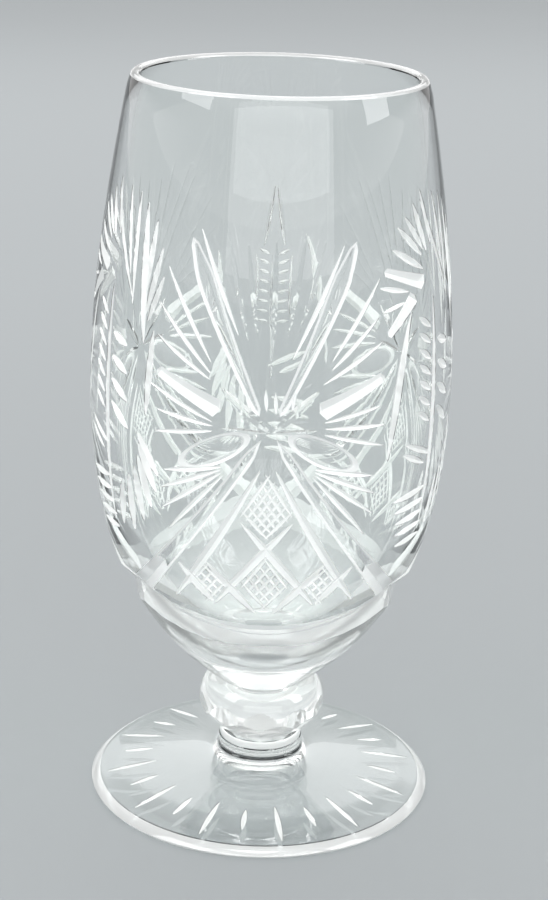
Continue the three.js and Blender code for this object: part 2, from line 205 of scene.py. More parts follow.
floor_shader.inputs["Specular IOR Level"].default_value = FLOOR_SHEEN
floor.data.materials.append(floor_paint)


for name, place, aim, width, tall, watts in SOFT_BOXES:
    lamp = bpy.data.lights.new(name, "AREA")
    lamp.shape = "RECTANGLE"
    lamp.size = width
    lamp.size_y = tall
    lamp.energy = watts
    holder = bpy.data.objects.new(name, lamp)
    bpy.context.scene.collection.objects.link(holder)
    holder.location = place
    holder.rotation_mode = "QUATERNION"
    holder.rotation_quaternion = (Vector(aim) - Vector(place)).to_track_quat("-Z", "Y")


# The foot is a pressed disc of clear crystal with a short pedestal, fused to the wafer. It stands on a flat
# ring near its thin fire-polished edge. Its top is cut with twelve long and twelve short rays on a wheel.
FOOT_SEGMENTS = 160
FOOT_RADIUS = 39.4
FOOT_EDGE = 1.7
FOOT_EDGE_START = -78
FOOT_EDGE_STEPS = 6
FOOT_EDGE_GLOW = 1.9
FOOT_SHOULDER = (36.6, 2.3)
FOOT_WAIST = (24.0, 4.7)
REST_RING_INNER = 33.0
FOOT_HOLLOW = 2.6
HOLLOW_STEPS = 14
PEDESTAL_RADIUS = 9.6
PEDESTAL_FILLET = 3.2
FOOT_HEIGHT = 11.0
FOOT_RAY_PAIRS = 12
FOOT_RAY_TURN = 9.0
LONG_RAY = (23.5, 36.6)
SHORT_RAY = (25.0, 32.8)
FOOT_RAY_DEPTH = 0.62
FINE_FLANK = 48.0
SHOULDER_STEPS = (0.95, 0.85, 0.7, 0.5, 0.3, 0.15, 0)
FOOT_TOP_RINGS = (34, 31, 28, FOOT_WAIST[0], 21, 18, 15.5)
REST_RING_WIDTH = 2
FILLET_PULL = (0.9, 0.3)
FILLET_TOP = 0.7
FILLET_STEPS = 8
FOOT_CREASE = 15
FLAT_ENOUGH = 0.999
JOINT_SLACK = 0.01
UNDERSIDE_TOP = 0.1
CUTTER_LIFT = 0.6
CRYSTAL_TINT = (0.975, 0.992, 0.985, 1)
CRYSTAL_IOR = 1.545
LAMP_PASS = (0.94, 0.955, 0.95, 1)
SMEAR_SCALE = 60.0
RIPPLE_SCALE = 35.0
RIPPLE_STRENGTH = 0.01
GLOSS_ROUGHNESS = 0.02
# Finishes of the glass: (clearness, least roughness, most roughness, gloss)
POLISHED = (1.0, 0.0, 0.02, 0.0)
BRIGHT = (0.97, 0.02, 0.05, 0.0)
# A whitish finish for cuts: painted highlight, standing in for the light that polished cuts catch
PAINTED_HIGHLIGHT = (0.22, 0.1, 0.2, 0.6)
# A whitish finish for edges: a painted glow where an edge catches light
PAINTED_EDGE_GLOW = (0.45, 0.06, 0.12, 0.8)
# A slightly whitish finish: a painted glow low in the knop and the bowl
PAINTED_GLOW = (0.8, 0.02, 0.05, 0.2)
# A paler finish for the arcs of the skirt: a softer painted highlight
SOFT_PAINTED_HIGHLIGHT = (0.55, 0.04, 0.1, 0.3)
# Where the second finish of a piece shows, by height in tenths of a metre or by depth of a cut in mm: by
# height it is a painted glow low in the glass, and by depth a painted highlight in the cuts
BASE_GLOW = [(0.28, 1), (0.56, 0)]
# Painted highlight in the cuts: fine cuts turn whitish from 0.03 to 0.1 mm deep, and wide cuts are whitish
# where shallower than 0.28 to 0.42 mm
CORE = [(0.0, 0), (0.03, 0), (0.1, 1)]
EDGE = [(0.0, 1), (0.28, 1), (0.42, 0)]


def glass_surface(tree, finish):
    """Lead crystal. Its polish varies a little, and a faint ripple is left from the hot glass."""
    clear, rough_low, rough_high, gloss = finish
    place = node(tree, "ShaderNodeTexCoord", output="Object")
    smear = node(tree, "ShaderNodeTexNoise", None, {"Vector": place, "Scale": SMEAR_SCALE, "Detail": 3.0})
    waves = node(tree, "ShaderNodeTexNoise", None, {"Vector": place, "Scale": RIPPLE_SCALE, "Detail": 1.0})
    ripple = {"Strength": RIPPLE_STRENGTH, "Distance": MM, "Height": waves}
    bump = node(tree, "ShaderNodeBump", None, ripple)
    return node(tree, "ShaderNodeBsdfPrincipled", None, {
        "Base Color": CRYSTAL_TINT,
        "Roughness": smear * (rough_high - rough_low) + rough_low,
        "Transmission Weight": clear,
        "IOR": CRYSTAL_IOR,
        "Coat Weight": gloss,
        "Coat Roughness": GLOSS_ROUGHNESS,
        "Normal": bump,
    })


def crystal(name, finish, second=None, share_of_second=None):
    """Crystal with one finish, or with two that change over by a share from 0 to 1"""
    glass = bpy.data.materials.new(name)
    glass.use_nodes = True
    tree = glass.node_tree
    tree.nodes.clear()
    surface = glass_surface(tree, finish)
    if second:
        finishes = {0: share_of_second(tree), 1: surface, 2: glass_surface(tree, second)}
        surface = node(tree, "ShaderNodeMixShader", None, finishes)
    lets_lamps = node(tree, "ShaderNodeBsdfTransparent", None, {"Color": LAMP_PASS})
    rays = tree.nodes.new("ShaderNodeLightPath")
    lamp_ray = Value(tree, rays.outputs["Is Shadow Ray"])
    mixed = node(tree, "ShaderNodeMixShader", None, {0: lamp_ray, 1: surface, 2: lets_lamps})
    out = tree.nodes.new("ShaderNodeOutputMaterial")
    tree.links.new(mixed.socket, out.inputs["Surface"])
    return glass


def by_depth(stops):
    """A share that follows the depth of a cut in mm"""

    def share(tree):
        below = node(tree, "ShaderNodeAttribute", {"attribute_name": "cut_depth"}, output="Fac")
        return node(tree, "ShaderNodeValToRGB", {"stops": greys(stops)}, {0: below})

    return share


def by_height(stops):
    """A share that follows the height in tenths of a metre"""

    def share(tree):
        place = node(tree, "ShaderNodeTexCoord", output="Object")
        tenths = node(tree, "ShaderNodeSeparateXYZ", None, {0: place}, output=2) * 10
        return node(tree, "ShaderNodeValToRGB", {"stops": greys(stops)}, {0: tenths})

    return share


def fused_joint():
    """Where two gathers were joined hot there is no surface left to see"""
    joint = bpy.data.materials.new("fused_joint")
    joint.use_nodes = True
    tree = joint.node_tree
    tree.nodes.clear()
    clear = node(tree, "ShaderNodeBsdfTransparent", None, {"Color": (1, 1, 1, 1)})
    out = tree.nodes.new("ShaderNodeOutputMaterial")
    tree.links.new(clear.socket, out.inputs["Surface"])
    return joint


blown_crystal = crystal("blown_crystal", POLISHED)
# The knop and the bowl take a painted glow that is full below 28 mm and gone above 56 mm
crystal_with_painted_glow = crystal("crystal_with_painted_glow", POLISHED, PAINTED_GLOW, by_height(BASE_GLOW))
# The fine and wide cuts change over by depth to a whitish painted highlight. The band glass has it all
# over, and the arcs' glass has a paler one.
fine_cut = crystal("fine_cut", BRIGHT, PAINTED_HIGHLIGHT, by_depth(CORE))
wide_cut = crystal("wide_cut", BRIGHT, PAINTED_HIGHLIGHT, by_depth(EDGE))
clear_cut = crystal("clear_cut", BRIGHT)
painted_highlight_cut = crystal("painted_highlight_cut", PAINTED_HIGHLIGHT)
soft_highlight_cut = crystal("soft_highlight_cut", SOFT_PAINTED_HIGHLIGHT)
# The edge glass is a painted glow for the foot's outer edge, the whole wafer and the bowl's rim
edge_glow_glass = crystal("edge_glow_glass", PAINTED_EDGE_GLOW)
joint_glass = fused_joint()


def bezier(points, steps):
    """Points along a cubic curve, from its first point to its last"""
    a, b, c, d = (Vector(point) for point in points)
    rows = []
    for i in range(steps + 1):
        t = i / steps
        s = 1 - t
        rows.append(tuple(s**3 * a + 3 * s * s * t * b + 3 * s * t * t * c + t**3 * d))
    return rows


def arc(centre, radius, start, finish, steps):
    """Points round a corner, by angle from outwards towards up"""
    angles = [math.radians(start + (finish - start) * i / steps) for i in range(steps + 1)]
    return [(centre[0] + radius * math.cos(a), centre[1] + radius * math.sin(a)) for a in angles]


def turned(name, outline, segments, last_row):
    """A flat disc whose rim is drawn out row by row along an outline of (radius, height), then closed"""
    bpy.ops.object.select_all(action="DESELECT")
    radius, height = outline[0]
    bpy.ops.mesh.primitive_circle_add(vertices=segments, radius=radius * MM, location=(0, 0, height * MM))
    piece = bpy.context.object
    piece.name = piece.data.name = name
    bpy.ops.object.transform_apply(location=True, rotation=True, scale=True)
    bpy.ops.object.mode_set(mode="EDIT")
    bpy.ops.mesh.select_all(action="SELECT")
    for next_radius, next_height in outline[1:]:
        rise = {"value": (0, 0, (next_height - height) * MM)}
        bpy.ops.mesh.extrude_edges_move(TRANSFORM_OT_translate=rise)
        grow = next_radius / radius
        bpy.ops.transform.resize(value=(grow, grow, 1), center_override=(0, 0, next_height * MM))
        radius, height = next_radius, next_height
    if last_row == "flat":
        bpy.ops.mesh.edge_face_add()
    else:
        bpy.ops.mesh.merge(type="CENTER")
    bpy.ops.mesh.select_all(action="DESELECT")
    bpy.ops.mesh.select_non_manifold()
    bpy.ops.mesh.edge_face_add()
    bpy.ops.mesh.select_all(action="SELECT")
    bpy.ops.mesh.normals_make_consistent(inside=False)
    bpy.ops.object.mode_set(mode="OBJECT")
    piece.data.materials.append(blown_crystal)
    piece.data.materials.append(joint_glass)
    return piece


def mark_joint(piece, height):
    """Faces that lie flat at a joint's height take the glass of a fused joint"""
    for face in piece.data.polygons:
        flat = abs(face.normal.z) > FLAT_ENOUGH
        if flat and abs(face.center.z - height * MM) < JOINT_SLACK * MM:
            face.material_index = 1


def paint_edge_glow(piece, is_edge):
    """Faces at an edge take a whitish finish, a painted glow that stands in for the light an edge catches
    """
    piece.data.materials.append(edge_glow_glass)
    for face in piece.data.polygons:
        if is_edge(face.center / MM):
            face.material_index = len(piece.data.materials) - 1


def finish_piece(piece, node_name, joints, crease):
    """Keeps edges sharper than the crease crisp, marks the joints and ties the piece to its node"""
    bpy.ops.object.select_all(action="DESELECT")
    piece.select_set(True)
    bpy.context.view_layer.objects.active = piece
    bpy.ops.object.shade_smooth_by_angle(angle=math.radians(crease))
    for height in joints:
        mark_joint(piece, height)
    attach(piece, "root")
    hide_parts(node_name)


# A mitre wheel leaves a cut with two flat sides and a sharp keel, thin at both ends. The cutter is a long
# three-sided bar with pointed ends. A copy is laid along each cut, and all are taken out of the glass.
CUTTER_STEPS = 14
TIP_SHARE = 0.58
LOOK_AHEAD = 0.02
TIP_LENGTH = 0.001
KEEL_SIDE = 0.9

bpy.ops.object.select_all(action="DESELECT")
bpy.ops.mesh.primitive_cylinder_add(
    vertices=3, radius=1, depth=1, location=(0, 0, 0.5), end_fill_type="NGON"
)
mitre_bar = bpy.context.object
mitre_bar.name = "mitre_bar"
bpy.ops.object.transform_apply(location=True, rotation=True, scale=True)
bpy.ops.object.mode_set(mode="EDIT")
bpy.ops.mesh.select_mode(type="EDGE")
bpy.ops.mesh.select_all(action="DESELECT")
bpy.ops.object.mode_set(mode="OBJECT")
for edge in mitre_bar.data.edges:
    ends = [mitre_bar.data.vertices[i].co.z for i in edge.vertices]
    edge.select = abs(ends[0] - ends[1]) > 0.5
bpy.ops.object.mode_set(mode="EDIT")
bpy.ops.mesh.subdivide_edgering(number_cuts=CUTTER_STEPS - 1)
bpy.ops.mesh.select_mode(type="VERT")
for tip in (0.0, 1.0):
    bpy.ops.mesh.select_all(action="DESELECT")
    bpy.ops.object.mode_set(mode="OBJECT")
    for vertex in mitre_bar.data.vertices:
        vertex.select = abs(vertex.co.z - tip) < TIP_LENGTH
    bpy.ops.object.mode_set(mode="EDIT")
    bpy.ops.mesh.merge(type="CENTER")
bpy.ops.mesh.select_all(action="SELECT")
bpy.ops.mesh.normals_make_consistent(inside=False)
bpy.ops.object.mode_set(mode="OBJECT")
mitre_bar.data.materials.append(fine_cut)
bar_corners = [vertex.co.copy() for vertex in mitre_bar.data.vertices]
bpy.context.scene.collection.objects.unlink(mitre_bar)


# The tapers say how deep a cut is along its line, as a share of its full depth
def leaf_taper(share):
    """Deepest in the middle and thin at both ends"""
    return 1 - (2 * share - 1) ** 2


def swelling_taper(share):
    """Shallow at its start and deepest at its end"""
    return 0.3 + 0.7 * share


def arc_taper(share):
    """Half as deep in the middle as at the ends"""
    return 0.5 + 0.5 * abs(2 * share - 1)


def blunt_taper(share):
    """Deeper towards its end, with both ends cut off short"""
    return 0.5 + 0.5 * share


def narrowing_taper(share):
    """Deep just behind a pointed start, then ever shallower"""
    return (1 - 0.72 * share) * min(1, 0.1 + 3.6 * share)


def mitre(wheel, line, depth, flank, taper=leaf_taper, finish=None, tip=None):
    """One mitre along a line of (point, normal) pairs in mm. The flank is the angle between a side of the
    cut and the normal, in degrees. The last part of the cut may have a finish of its own."""
    spread = math.tan(math.radians(flank))
    cutter = bpy.data.objects.new("cut", mitre_bar.data.copy())
    if finish:
        cutter.data.materials[0] = finish
    if tip:
        cutter.data.materials.append(tip)
        for face in cutter.data.polygons:
            if sum(bar_corners[i].z for i in face.vertices) / len(face.vertices) > TIP_SHARE:
                face.material_index = 1
    for vertex, corner in zip(cutter.data.vertices, bar_corners):
        share = min(max(corner.z, 0), 1)
        point, normal = line(share)
        if share < TIP_LENGTH or share > 1 - TIP_LENGTH:
            vertex.co = (point + normal * CUTTER_LIFT) * MM
            continue
        keel = depth * taper(share)
        if corner.y > KEEL_SIDE:
            vertex.co = (point - normal * keel) * MM
            continue
        ahead = line(min(1, share + LOOK_AHEAD))[0] - line(max(0, share - LOOK_AHEAD))[0]
        side = ahead.cross(normal).normalized()
        reach = (keel + CUTTER_LIFT) * spread
        if corner.x < 0:
            reach = -reach
        vertex.co = (point + normal * CUTTER_LIFT + side * reach) * MM
    wheel.objects.link(cutter)


def cut_away(piece, wheel):
    """Takes every cutter of a wheel out of a piece"""
    bpy.context.scene.collection.children.link(wheel)
    bpy.ops.object.select_all(action="DESELECT")
    for cutter in wheel.objects:
        cutter.select_set(True)
        bpy.context.view_layer.objects.active = cutter
    bpy.ops.object.mode_set(mode="EDIT")
    bpy.ops.mesh.select_all(action="SELECT")
    bpy.ops.mesh.normals_make_consistent(inside=False)
    bpy.ops.object.mode_set(mode="OBJECT")
    bpy.ops.object.select_all(action="DESELECT")
    piece.select_set(True)
    bpy.context.view_layer.objects.active = piece
    modifier = piece.modifiers.new("wheel", "BOOLEAN")
    modifier.operation = "DIFFERENCE"
    modifier.operand_type = "COLLECTION"
    modifier.collection = wheel
    modifier.solver = "MANIFOLD"
    modifier.material_mode = "TRANSFER"
    bpy.ops.object.modifier_apply(modifier="wheel")
    for cutter in list(wheel.objects):
        bpy.data.objects.remove(cutter)
    bpy.context.scene.collection.children.unlink(wheel)


def foot_top(radius):
    """Height of the top of the foot at a radius"""
    inner, high = FOOT_WAIST
    outer, low = FOOT_SHOULDER
    if radius > outer:
        share = (radius - outer) / (FOOT_RADIUS - outer)
        return low - (low - FOOT_EDGE / 2) * share**2
    return low + (high - low) * (outer - radius) / (outer - inner)


edge = FOOT_EDGE / 2
hollow = [REST_RING_INNER * i / HOLLOW_STEPS for i in range(1, HOLLOW_STEPS)]
outline = [(radius, FOOT_HOLLOW * (1 - (radius / REST_RING_INNER) ** 2) ** 2) for radius in hollow]
outline += [(REST_RING_INNER, 0.0), (REST_RING_INNER + REST_RING_WIDTH, 0.0), (FOOT_RADIUS - edge, 0.0)]
outline += arc((FOOT_RADIUS - edge, edge), edge, FOOT_EDGE_START, 0, FOOT_EDGE_STEPS)
shoulder_width = FOOT_RADIUS - FOOT_SHOULDER[0]
shoulder = [FOOT_SHOULDER[0] + shoulder_width * share for share in SHOULDER_STEPS]
outline += [(radius, foot_top(radius)) for radius in (*shoulder, *FOOT_TOP_RINGS)]
fillet_foot = PEDESTAL_RADIUS + PEDESTAL_FILLET
low = foot_top(fillet_foot)
corner = foot_top(PEDESTAL_RADIUS)
fillet = bezier([
    (fillet_foot, low, 0),
    (PEDESTAL_RADIUS + FILLET_PULL[0], corner, 0),
    (PEDESTAL_RADIUS, corner + FILLET_PULL[1], 0),
    (PEDESTAL_RADIUS, corner + PEDESTAL_FILLET * FILLET_TOP, 0),
], FILLET_STEPS)
outline += [(point[0], point[1]) for point in fillet]
outline += [(PEDESTAL_RADIUS, FOOT_HEIGHT)]
foot = turned("crystal_foot", outline, FOOT_SEGMENTS, "flat")

foot_wheel = bpy.data.collections.new("foot_wheel")
lean = (FOOT_WAIST[1] - FOOT_SHOULDER[1]) / (FOOT_SHOULDER[0] - FOOT_WAIST[0])


def foot_line(azimuth, inner, outer):
    """A line outwards on the top of the foot"""
    angle = math.radians(azimuth)
    outward = Vector((math.sin(angle), -math.cos(angle), 0))
    normal = (outward * lean + Vector((0, 0, 1))).normalized()

    def line(share):
        radius = inner + (outer - inner) * share
        return outward * radius + Vector((0, 0, foot_top(radius))), normal

    return line


for i in range(FOOT_RAY_PAIRS):
    azimuth = FOOT_RAY_TURN + 360 / FOOT_RAY_PAIRS * i
    mitre(foot_wheel, foot_line(azimuth, *LONG_RAY), FOOT_RAY_DEPTH, FINE_FLANK)
    between = azimuth + 360 / FOOT_RAY_PAIRS / 2
    mitre(foot_wheel, foot_line(between, *SHORT_RAY), FOOT_RAY_DEPTH, FINE_FLANK)
cut_away(foot, foot_wheel)
# The depth of the foot's rays decides where they take their painted highlight
cut_depth = foot.data.attributes.new("cut_depth", "FLOAT", "POINT")
for vertex, value in zip(foot.data.vertices, cut_depth.data):
    value.value = foot_top(math.hypot(vertex.co.x, vertex.co.y) / MM) - vertex.co.z / MM
# The outer edge of the foot takes a painted glow
paint_edge_glow(
    foot, lambda place: place.xy.length > FOOT_RADIUS - FOOT_EDGE_GLOW and place.z > UNDERSIDE_TOP
)
finish_piece(foot, "foot", [FOOT_HEIGHT], FOOT_CREASE)


# The wafer is a thin disc of clear crystal between the foot and the knop, fused to both while hot. Its
# edge is rounded, and all of it takes a whitish painted glow.
WAFER_SEGMENTS = 96
WAFER_RADIUS = 9.5
WAFER_THICKNESS = 1.8
WAFER_EDGE = 0.55
WAFER_EDGE_STEPS = 5
WAFER_CREASE = 40

wafer_base = FOOT_HEIGHT
knop_base = wafer_base + WAFER_THICKNESS
bend = WAFER_RADIUS - WAFER_EDGE
outline = arc((bend, wafer_base + WAFER_EDGE), WAFER_EDGE, -90, 0, WAFER_EDGE_STEPS)
outline += arc((bend, knop_base - WAFER_EDGE), WAFER_EDGE, 0, 90, WAFER_EDGE_STEPS)
wafer = turned("crystal_wafer", outline, WAFER_SEGMENTS, "flat")
# The whole wafer takes the painted glow
paint_edge_glow(wafer, lambda place: True)
finish_piece(wafer, "wafer", [wafer_base, knop_base], WAFER_CREASE)


# The knop is a pressed ball of clear crystal, fused between the wafer and the bowl. Its lower half is
# ground flat on a stone: a row of lozenges round the girdle, and a row of facets under it, set half a
# step round.
KNOP_SEGMENTS = 120
KNOP_STEPS = 16
KNOP_RADIUS = 14.4
KNOP_HEIGHT = 14.2
KNOP_BASE_RADIUS = 8.9
KNOP_TOP_RADIUS = 10.8
KNOP_GIRDLE = 0.56
# How far the pulling points of its two curves lie out and up from their ends
KNOP_BASE_PULL = (2.6, 0.9)
KNOP_TOP_PULL = (2.4, 0.9)
GIRDLE_PULL_DOWN = 4.2
GIRDLE_PULL_UP = 2.6
KNOP_FACETS = 10
LOZENGE_BITE = 0.55
LOZENGE_TILT = 8.0
LOZENGE_DROP = 0.6
LOWER_FACET_PLACE = (3.4, 3.2)
LOWER_FACET_BITE = 1.0
LOWER_FACET_TILT = 42.0
KNOP_CREASE = 12

bowl_base = knop_base + KNOP_HEIGHT
girdle = knop_base + KNOP_HEIGHT * KNOP_GIRDLE
lower = bezier([
    (KNOP_BASE_RADIUS, knop_base, 0),
    (KNOP_BASE_RADIUS + KNOP_BASE_PULL[0], knop_base + KNOP_BASE_PULL[1], 0),
    (KNOP_RADIUS, girdle - GIRDLE_PULL_DOWN, 0),
    (KNOP_RADIUS, girdle, 0),
], KNOP_STEPS)
upper = bezier([
    (KNOP_RADIUS, girdle, 0),
    (KNOP_RADIUS, girdle + GIRDLE_PULL_UP, 0),
    (KNOP_TOP_RADIUS + KNOP_TOP_PULL[0], bowl_base - KNOP_TOP_PULL[1], 0),
    (KNOP_TOP_RADIUS, bowl_base, 0),
], KNOP_STEPS)
outline = [(point[0], point[1]) for point in lower + upper[1:]]
knop = turned("crystal_knop", outline, KNOP_SEGMENTS, "flat")
# The knop lies wholly below 28 mm, so it is whitish all over with the painted glow
knop.data.materials[0] = crystal_with_painted_glow


def grind(piece, azimuth, tilt, height, distance):
    """Grinds one flat facet. Tilt turns it to face downwards."""
    angle = math.radians(azimuth)
    fall = math.radians(tilt)
    outward = Vector((math.sin(angle), -math.cos(angle), 0))
    facing = outward * math.cos(fall) - Vector((0, 0, 1)) * math.sin(fall)
    place = outward * distance + Vector((0, 0, height))
    bpy.ops.object.select_all(action="DESELECT")
    piece.select_set(True)
    bpy.context.view_layer.objects.active = piece
    bpy.ops.object.mode_set(mode="EDIT")
    bpy.ops.mesh.select_all(action="SELECT")
    bpy.ops.mesh.bisect(plane_co=place * MM, plane_no=facing, use_fill=True, clear_outer=True)
    bpy.ops.object.mode_set(mode="OBJECT")


lower_facet_height = knop_base + LOWER_FACET_PLACE[1]
lower_facet_distance = KNOP_BASE_RADIUS + LOWER_FACET_PLACE[0] - LOWER_FACET_BITE
for i in range(KNOP_FACETS):
    azimuth = 360 / KNOP_FACETS * i
    grind(knop, azimuth, LOZENGE_TILT, girdle - LOZENGE_DROP, KNOP_RADIUS - LOZENGE_BITE)
    below = azimuth + 180 / KNOP_FACETS
    grind(knop, below, LOWER_FACET_TILT, lower_facet_height, lower_facet_distance)
finish_piece(knop, "knop", [knop_base, bowl_base], KNOP_CREASE)


# The bowl is clear crystal, blown into a barrel with a thick floor, and fused to the knop while both were
# hot. Its rim is fire-polished.
BOWL_SEGMENTS = 168
LOWER_STEPS = 34
UPPER_STEPS = 30
INNER_UPPER_STEPS = 26
LIP_STEPS = 10
LIP_TURN = (8, 172)
BOWL_HEIGHT = 138.0
BELLY_RADIUS = 39.75
BELLY_ABOVE_BASE = 71.0
RIM_RADIUS = 31.6
RIM_WALL = 2.3
BELLY_WALL = 4.6
FLOOR_THICKNESS = 11.0
BASE_FULLNESS = (22.0, 17.8)
BELLY_RISE = 33.1
SHOULDER_RISE = 16.8
RIM_LEAN = (5.95, 29.9)
RIM_GLOW = 0.75
BOWL_CREASE = 15
# The inside: its middle, its floor and wall as shares of the belly's size, and less lean at the rim
POLE_RADIUS = 0.4
INNER_FLOOR = 0.56
INNER_WALL = 0.62
INNER_BELLY_DROP = 2
INNER_LEAN = 0.8

rim = bowl_base + BOWL_HEIGHT
belly = bowl_base + BELLY_ABOVE_BASE
lower_curve = [
    (KNOP_TOP_RADIUS, bowl_base, 0),
    (KNOP_TOP_RADIUS + BASE_FULLNESS[0], bowl_base + BASE_FULLNESS[1], 0),
    (BELLY_RADIUS, belly - BELLY_RISE, 0),
    (BELLY_RADIUS, belly, 0),
]
upper_curve = [
    (BELLY_RADIUS, belly, 0),
    (BELLY_RADIUS, belly + SHOULDER_RISE, 0),
    (RIM_RADIUS + RIM_LEAN[0], rim - RIM_LEAN[1], 0),
    (RIM_RADIUS, rim, 0),
]
lip = RIM_WALL / 2
inner_belly = BELLY_RADIUS - BELLY_WALL
inner_rim = RIM_RADIUS - RIM_WALL
floor_top = bowl_base + FLOOR_THICKNESS
inner_lower = [
    (POLE_RADIUS, floor_top, 0),
    (inner_belly * INNER_FLOOR, floor_top, 0),
    (inner_belly, belly - INNER_WALL * (belly - floor_top), 0),
    (inner_belly, belly - INNER_BELLY_DROP, 0),
]
inner_upper = [
    (inner_belly, belly - INNER_BELLY_DROP, 0),
    (inner_belly, belly + SHOULDER_RISE, 0),
    (inner_rim + RIM_LEAN[0] * INNER_LEAN, rim - RIM_LEAN[1], 0),
    (inner_rim, rim - lip, 0),
]
outline = [(p[0], p[1]) for p in bezier(lower_curve, LOWER_STEPS)]
upper_points = bezier(upper_curve, UPPER_STEPS)[1:-1]
outline += [(p[0], p[1]) for p in upper_points if p[1] < rim - lip]
outline += arc((RIM_RADIUS - lip, rim - lip), lip, *LIP_TURN, LIP_STEPS)
outline += [(p[0], p[1]) for p in reversed(bezier(inner_upper, INNER_UPPER_STEPS)[:-1])]
outline += [(p[0], p[1]) for p in reversed(bezier(inner_lower, LOWER_STEPS)[:-1])]
bowl = turned("crystal_bowl", outline, BOWL_SEGMENTS, "pole")
# The bowl takes the painted glow in its lower part, fading out upwards
bowl.data.materials[0] = crystal_with_painted_glow


# The bowl is cut in three equal panels, each with a mitre star, and a feathered column between every two.
# Wide mitres run down from each star and cross the neighbours' ones, with a lattice in the skirt between.
# The two stars at the back have shallow, polished rays, and the column there has no fans at its top.
PANELS = 3
OUTSIDE_STEPS = 300
STONE_SEGMENTS = 28
STONE_RINGS = 18
STAR_ABOVE_BASE = 72.6
FINE_DEPTH = 0.72
# How the wheel makes each kind of cut: (depth, flank)
STAR_CUT = (0.5, FINE_FLANK)
FAINT_CUT = (0.3, 62)
REAR_CUT = (0.1, 77)
SHORT_CUT = (0.4, FINE_FLANK)
WIDE_RAY_CUT = (1.3, 64)
REAR_WIDE_CUT = (0.2, 77)
BAND_CUT = (0.98, 65.5)
INNER_CUT = (0.7, 57)
LEVEL_CUT = (0.42, 52)
FEATHER_CUT = (0.58, FINE_FLANK)
DIAGONAL_CUT = (1.75, 60)
LATTICE_CUT = (0.75, 56)
HATCH_CUT = (0.42, 50)
BASE_ARC_CUT = (1.85, 72)
CRESCENT_CUT = (1.25, 69)
LEFT_STROKE_CUT = (0.8, FINE_FLANK)
FALLING_CUT = (0.95, 52)
SWEEP_CUT = (0.75, 56)
UPRIGHT_CUT = (0.7, 54)
SPINE_CUT = (FINE_DEPTH, 52)
FAN_FLANK = 46
BROAD_CUT = (1.1, 58)
RIGHT_LEAF_CUT = (0.85, 52)
LEFT_LEAF_CUT = (0.7, 50)
FLAME_CUT = (0.45, 52)
RUNG_CUT = (0.38, FINE_FLANK)
# The feather beside a star, whose rays grow by a little for each degree, and the smooth hollow under it
FEATHER_PLACE = (10.5, 64.0)
FEATHER_SPAN = (102, 139)
FEATHER_RAYS = 4
FEATHER_INNER = 1.5
FEATHER_OUTER = (17, 0.18)
PETAL_TURN = 117
PETAL_AWAY = 13
PETAL_SIZE = (17.5, 6, 0.8)
# The skirt
DIAGONAL_END = (66.0, 24.5)
DIAGONAL_SAG = 7.3
BASE_ARC_END = (72.0, 30.8)
BASE_ARC_SAG = 9.4
CRESCENT_END = (45.0, 28.8)
CRESCENT_SAG = 6.2
# The long falling fan of a column: (first start, growth for each degree), and (longest end, loss for each
# degree short of straight down)
FALLING_PLACE = (11.5, 72)
FALLING_SPAN = (146, 188)
FALLING_RAYS = 6
FALLING_INNER = (5, 0.27)
FALLING_OUTER = (29, 0.36)
STRAIGHT_DOWN = 180
SWEEP_LAG = 0.5
# The rungs at the back: heights and rises as (first, step), and how far they reach from the spine
RUNGS = 8
RUNG_HEIGHT = (72, 2.35)
RUNG_RISE = (0.4, 0.15)
RUNG_REACH = (1.2, 6.0)
BACK_COLUMN = 180

star_height = bowl_base + STAR_ABOVE_BASE
outside_samples = bezier(lower_curve, OUTSIDE_STEPS) + bezier(upper_curve, OUTSIDE_STEPS)[1:]


def outside(height):
    """Radius of the outside of the bowl at a height, and the slope of the outline there"""
    for a, b in zip(outside_samples, outside_samples[1:]):
        if b[1] >= height:
            break
    rise = max(b[1] - a[1], 1e-9)
    return a[0] + (b[0] - a[0]) * (height - a[1]) / rise, (b[0] - a[0]) / rise


def on_bowl(azimuth, height):
    """A point on the outside of the bowl and the normal there"""
    radius, slope = outside(height)
    angle = math.radians(azimuth)
    outward = Vector((math.sin(angle), -math.cos(angle), 0))
    normal = (outward - Vector((0, 0, slope))).normalized()
    return outward * radius + Vector((0, 0, height)), normal


def reach_from(place, direction, distance):
    """A place on the bowl at a distance from another. Direction 0 is up and 90 is to the right."""
    height = place[1] + distance * math.cos(math.radians(direction))
    sideways = distance * math.sin(math.radians(direction))
    return place[0] + math.degrees(sideways / outside(height)[0]), height


def bowl_line(start, finish, sag=0.0, lag=1.0):
    """A line on the bowl between two places. It may hang through, or turn sooner than it falls."""

    def line(share):
        azimuth = start[0] + (finish[0] - start[0]) * share**lag
        height = start[1] + (finish[1] - start[1]) * share - 4 * sag * share * (1 - share)
        return on_bowl(azimuth, height)

    return line


def fan(wheel, place, span, count, inner, outer, cut):
    """Rays that spread from one place. Where they start and end depends on their direction."""
    first, last = span
    for i in range(count):
        direction = first + (last - first) * i / (count - 1)
        start = reach_from(place, direction, inner(direction))
        end = reach_from(place, direction, outer(direction))
        mitre(wheel, bowl_line(start, end), *cut)


bpy.ops.object.select_all(action="DESELECT")
bpy.ops.mesh.primitive_uv_sphere_add(segments=STONE_SEGMENTS, ring_count=STONE_RINGS, radius=1)
round_stone = bpy.context.object
round_stone.data.materials.append(wide_cut)
bpy.context.scene.collection.objects.unlink(round_stone)


